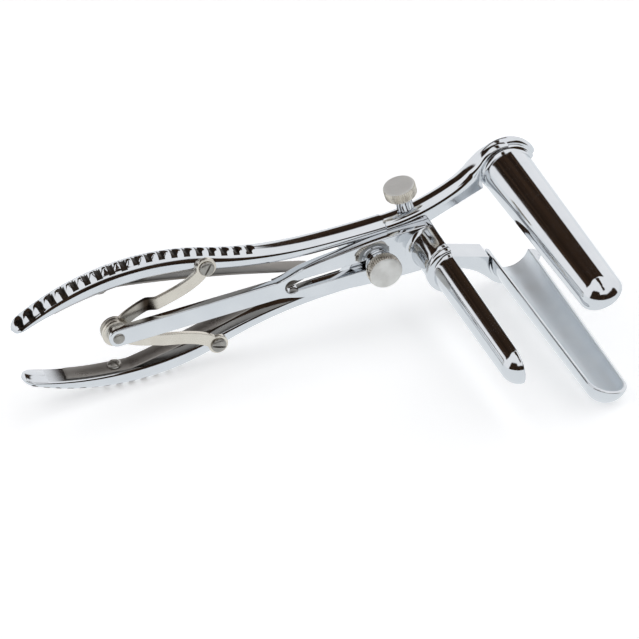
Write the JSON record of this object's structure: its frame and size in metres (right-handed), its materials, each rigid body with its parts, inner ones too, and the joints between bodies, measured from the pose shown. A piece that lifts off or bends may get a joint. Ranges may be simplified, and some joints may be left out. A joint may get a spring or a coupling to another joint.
{
  "type": "three-blade anal speculum",
  "caption": "Chromed surgical speculum: squeezed handles spread two trough blades while links and a slotted arm draw the central blade back; thumb screws lock it.",
  "frame": {"origin": "hinge axis at the flat back of the levers", "axes": "+X from the handles to the blades, +Y out of the flat back away from the blades, +Z the way the upper lever spreads"},
  "size_m": [0.2075, 0.1024, 0.0658],
  "materials": {
    "polished_chrome": "polished",
    "satin_nickel": "satin",
    "spring_steel": "satin",
    "plated_fastener": "polished"
  },
  "bodies": {
    "hinge_core": {"hinge_stud": "plated_fastener", "clamp_washer": "satin_nickel"},
    "clamp_nut": {"clamp_nut": "satin_nickel"},
    "upper_lever": {"upper_lever": "polished_chrome", "upper_blade": "polished_chrome", "upper_spring": "spring_steel", "upper_spring_screw": "plated_fastener", "upper_link_screw": "plated_fastener"},
    "lower_lever": {"lower_lever": "polished_chrome", "lower_blade": "polished_chrome", "lower_spring": "spring_steel", "lower_spring_screw": "plated_fastener", "lower_link_screw": "plated_fastener"},
    "side_screw": {"side_screw": "satin_nickel"},
    "central_arm": {"central_arm": "polished_chrome", "central_blade": "polished_chrome", "link_rivet": "plated_fastener", "rivet_washer": "plated_fastener"},
    "upper_link": {"upper_link": "satin_nickel"},
    "lower_link": {"lower_link": "satin_nickel"}
  },
  "joints": [
    {"name": "upper_hinge", "type": "hinge", "parent": "hinge_core", "child": "upper_lever", "pos_m": [0, 0, 0], "axis": [0, 1, 0], "range_deg": [0, 18], "deforming": ["upper_spring"]},
    {"name": "lower_hinge", "type": "hinge", "parent": "hinge_core", "child": "lower_lever", "pos_m": [0, 0, 0], "axis": [0, 1, 0], "range_deg": [-18, 0], "deforming": ["lower_spring"]},
    {"name": "arm_slide", "type": "slide", "parent": "hinge_core", "child": "central_arm", "axis": [1, 0, 0], "range_m": [0, 0.0245]},
    {"name": "upper_link_pivot", "type": "hinge", "parent": "upper_lever", "child": "upper_link", "pos_m": [-0.0648, -0.0095, 0.0178], "axis": [0, 1, 0], "range_deg": [-53.2, 0]},
    {"name": "lower_link_pivot", "type": "hinge", "parent": "lower_lever", "child": "lower_link", "pos_m": [-0.0648, -0.0095, -0.0178], "axis": [0, 1, 0], "range_deg": [0, 53.2]},
    {"name": "clamp_nut_turn", "type": "hinge", "parent": "hinge_core", "child": "clamp_nut", "pos_m": [0, -0.02, 0], "axis": [0, 1, 0], "range_deg": [-30, 540]},
    {"name": "side_screw_turn", "type": "hinge", "parent": "upper_lever", "child": "side_screw", "pos_m": [0.01546, -0.00475, 0.01357], "axis": [-0.159, 0, 0.9873], "range_deg": [-30, 540]}
  ],
  "couplings": [
    {"joint": "lower_hinge", "follows": "upper_hinge", "ratio": -1},
    {"joint": "arm_slide", "follows": "upper_hinge", "m_per_rad": 0.0777},
    {"joint": "upper_link_pivot", "follows": "upper_hinge", "ratio": -2.95},
    {"joint": "lower_link_pivot", "follows": "upper_hinge", "ratio": 2.95}
  ]
}
